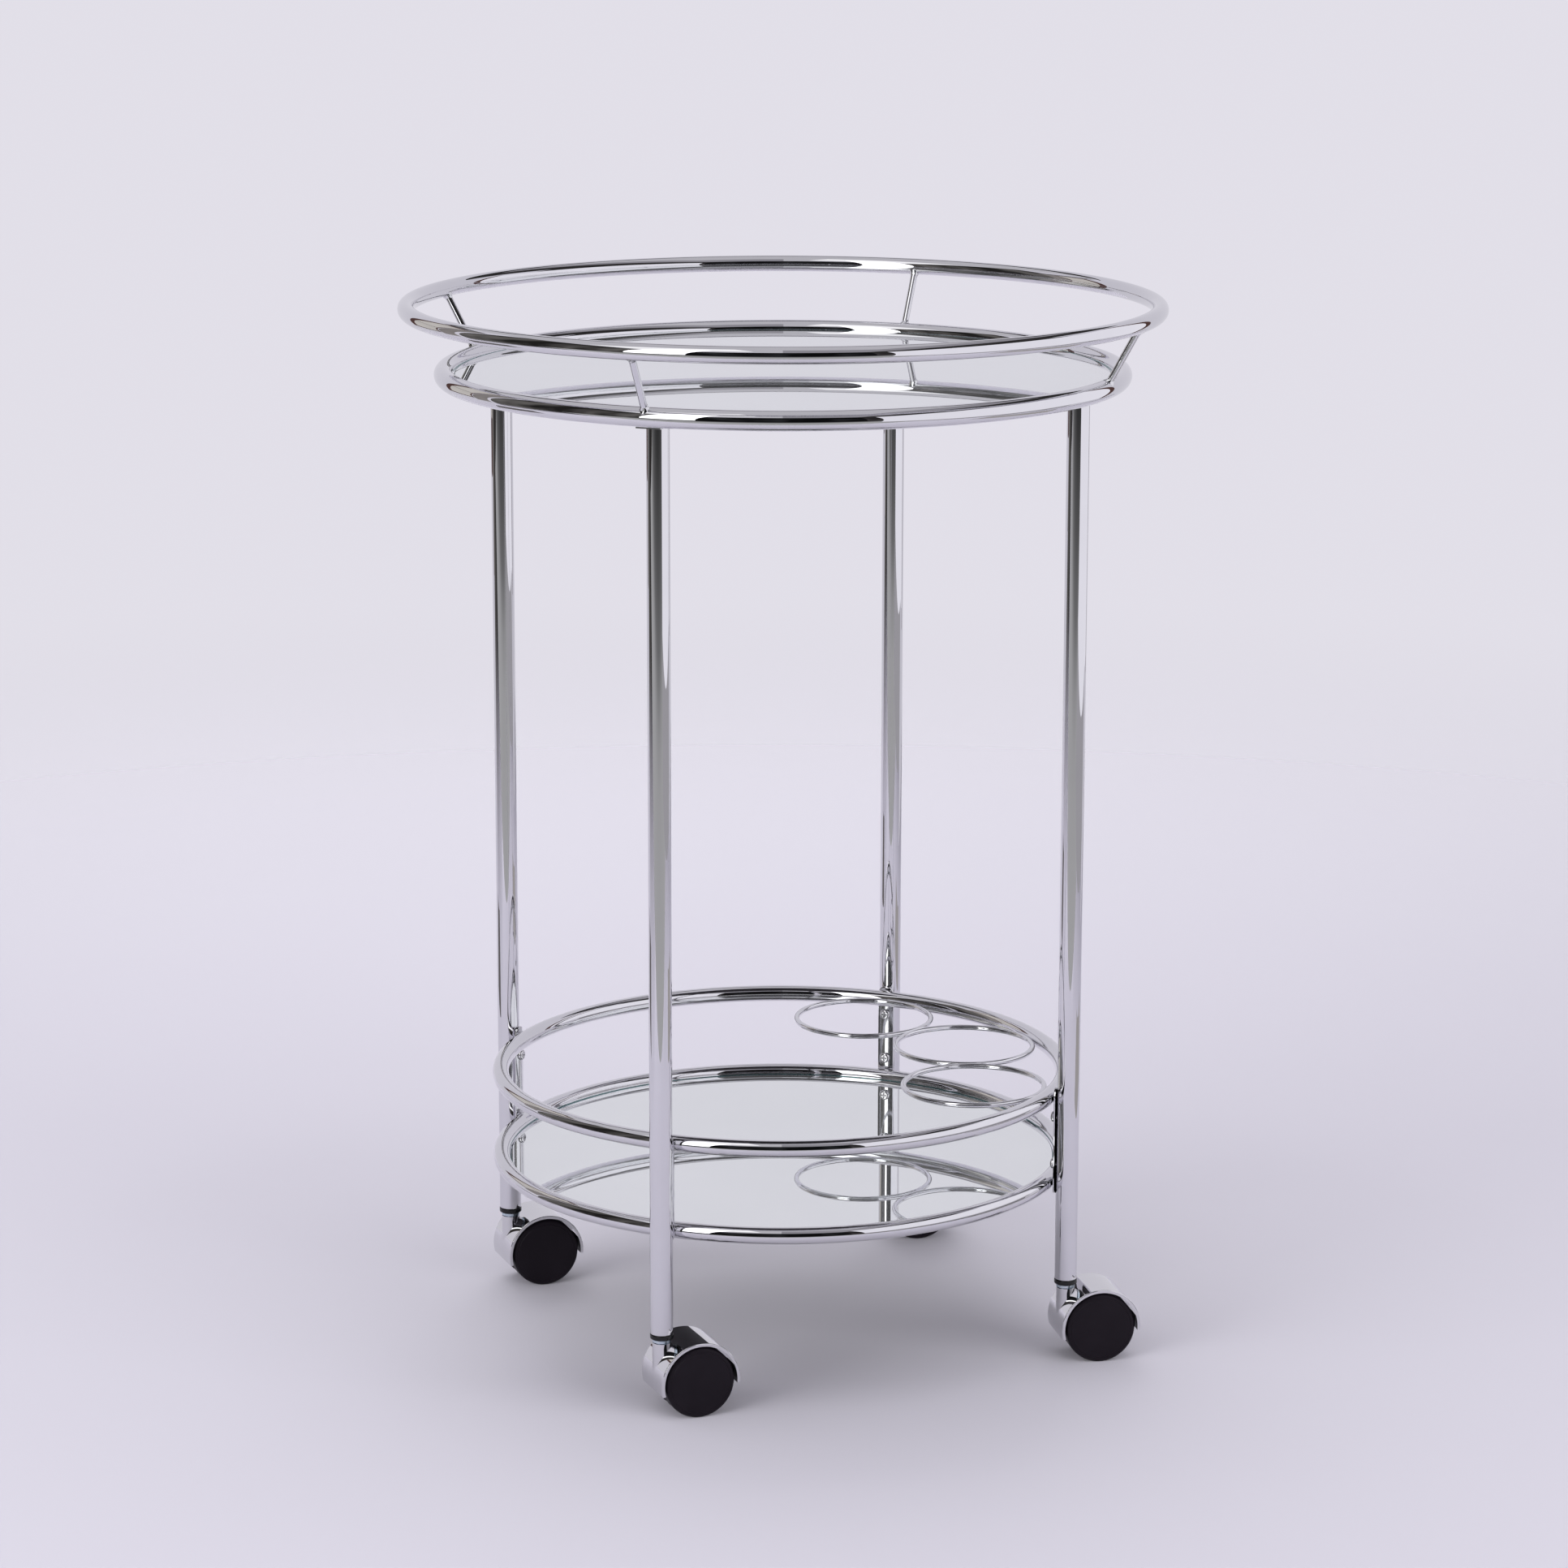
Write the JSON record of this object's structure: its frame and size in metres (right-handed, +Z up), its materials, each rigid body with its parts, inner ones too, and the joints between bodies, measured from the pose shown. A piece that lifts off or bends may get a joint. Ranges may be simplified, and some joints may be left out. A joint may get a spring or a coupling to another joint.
{
  "type": "round bar cart on casters",
  "caption": "Round two-tier chrome serving cart with mirror trays, a raised handrail, bottle rings over the lower tray and hooded twin-wheel swivel casters.",
  "frame": {"origin": "on the floor, under the centre of the handrail, which is the axis of both trays and of the leg circle", "axes": "+Z up; +X towards the middle bottle ring, half way between two legs; legs at 45 degrees to X and Y"},
  "size_m": [0.5459, 0.546, 0.76],
  "materials": {
    "chrome_tube": "bright chrome plate on steel tube",
    "chrome_wire": "bright chrome plate on steel rod and wire",
    "chrome_flat": "bright chrome plate on flat steel bar",
    "chrome_screw": "chrome plated pan head screws",
    "chrome_hood": "bright chrome plate on die-cast hood",
    "zinc_steel": "blue-white zinc plate",
    "mirror_glass": "float glass mirror with a ground edge",
    "backing_board": "dark painted hardboard",
    "black_plastic": "moulded black plastic",
    "wheel_nylon": "satin black nylon"
  },
  "bodies": {
    "cart_frame": {"bottle_ring_1": "chrome_wire", "bottle_ring_2": "chrome_wire", "bottle_ring_3": "chrome_wire", "bracket_screws": "chrome_screw", "caster_socket_1": "black_plastic", "caster_socket_2": "black_plastic", "caster_socket_3": "black_plastic", "caster_socket_4": "black_plastic", "caster_stem_1": "zinc_steel", "caster_stem_2": "zinc_steel", "caster_stem_3": "zinc_steel", "caster_stem_4": "zinc_steel", "gallery_ring": "chrome_tube", "handrail_ring": "chrome_tube", "leg_1": "chrome_tube", "leg_2": "chrome_tube", "leg_3": "chrome_tube", "leg_4": "chrome_tube", "leg_inserts": "zinc_steel", "leg_lug_1": "chrome_flat", "leg_lug_2": "chrome_flat", "leg_lug_3": "chrome_flat", "leg_lug_4": "chrome_flat", "lower_mirror": "mirror_glass", "lower_mirror_backing": "backing_board", "lower_tray_ring": "chrome_tube", "lower_tray_tabs": "chrome_flat", "lug_screws": "zinc_steel", "rail_strut_1": "chrome_wire", "rail_strut_2": "chrome_wire", "rail_strut_3": "chrome_wire", "rail_strut_4": "chrome_wire", "top_mirror": "mirror_glass", "top_mirror_backing": "backing_board", "top_tray_ring": "chrome_tube", "tray_bracket_1": "chrome_flat", "tray_bracket_2": "chrome_flat", "tray_bracket_3": "chrome_flat", "tray_bracket_4": "chrome_flat"},
    "caster_1": {"caster_hood_1": "chrome_hood", "caster_axle_1": "zinc_steel"},
    "wheel_left_1": {"caster_wheel_left_1": "wheel_nylon"},
    "wheel_right_1": {"caster_wheel_right_1": "wheel_nylon"},
    "caster_2": {"caster_hood_2": "chrome_hood", "caster_axle_2": "zinc_steel"},
    "wheel_left_2": {"caster_wheel_left_2": "wheel_nylon"},
    "wheel_right_2": {"caster_wheel_right_2": "wheel_nylon"},
    "caster_3": {"caster_hood_3": "chrome_hood", "caster_axle_3": "zinc_steel"},
    "wheel_left_3": {"caster_wheel_left_3": "wheel_nylon"},
    "wheel_right_3": {"caster_wheel_right_3": "wheel_nylon"},
    "caster_4": {"caster_hood_4": "chrome_hood", "caster_axle_4": "zinc_steel"},
    "wheel_left_4": {"caster_wheel_left_4": "wheel_nylon"},
    "wheel_right_4": {"caster_wheel_right_4": "wheel_nylon"}
  },
  "joints": [
    {"name": "caster_1_swivel", "type": "hinge", "parent": "cart_frame", "child": "caster_1", "pos_m": [0.15698, 0.15698, 0.045], "axis": [0, 0, 1], "continuous": true},
    {"name": "wheel_left_1_roll", "type": "hinge", "parent": "caster_1", "child": "wheel_left_1", "pos_m": [0.17705, 0.14846, 0.0255], "axis": [0.3907, 0.9205, 0], "continuous": true},
    {"name": "wheel_right_1_roll", "type": "hinge", "parent": "caster_1", "child": "wheel_right_1", "pos_m": [0.17705, 0.14846, 0.0255], "axis": [0.3907, 0.9205, 0], "continuous": true},
    {"name": "caster_2_swivel", "type": "hinge", "parent": "cart_frame", "child": "caster_2", "pos_m": [-0.15698, 0.15698, 0.045], "axis": [0, 0, 1], "continuous": true},
    {"name": "wheel_left_2_roll", "type": "hinge", "parent": "caster_2", "child": "wheel_left_2", "pos_m": [-0.13519, 0.15622, 0.0255], "axis": [0.0349, 0.9994, 0], "continuous": true},
    {"name": "wheel_right_2_roll", "type": "hinge", "parent": "caster_2", "child": "wheel_right_2", "pos_m": [-0.13519, 0.15622, 0.0255], "axis": [0.0349, 0.9994, 0], "continuous": true},
    {"name": "caster_3_swivel", "type": "hinge", "parent": "cart_frame", "child": "caster_3", "pos_m": [-0.15698, -0.15698, 0.045], "axis": [0, 0, 1], "continuous": true},
    {"name": "wheel_left_3_roll", "type": "hinge", "parent": "caster_3", "child": "wheel_left_3", "pos_m": [-0.13518, -0.15736, 0.0255], "axis": [0.0175, 0.9998, 0], "continuous": true},
    {"name": "wheel_right_3_roll", "type": "hinge", "parent": "caster_3", "child": "wheel_right_3", "pos_m": [-0.13518, -0.15736, 0.0255], "axis": [0.0175, 0.9998, 0], "continuous": true},
    {"name": "caster_4_swivel", "type": "hinge", "parent": "cart_frame", "child": "caster_4", "pos_m": [0.15698, -0.15698, 0.045], "axis": [0, 0, 1], "continuous": true},
    {"name": "wheel_left_4_roll", "type": "hinge", "parent": "caster_4", "child": "wheel_left_4", "pos_m": [0.17838, -0.16114, 0.0255], "axis": [0.1908, 0.9816, 0], "continuous": true},
    {"name": "wheel_right_4_roll", "type": "hinge", "parent": "caster_4", "child": "wheel_right_4", "pos_m": [0.17838, -0.16114, 0.0255], "axis": [0.1908, 0.9816, 0], "continuous": true}
  ]
}
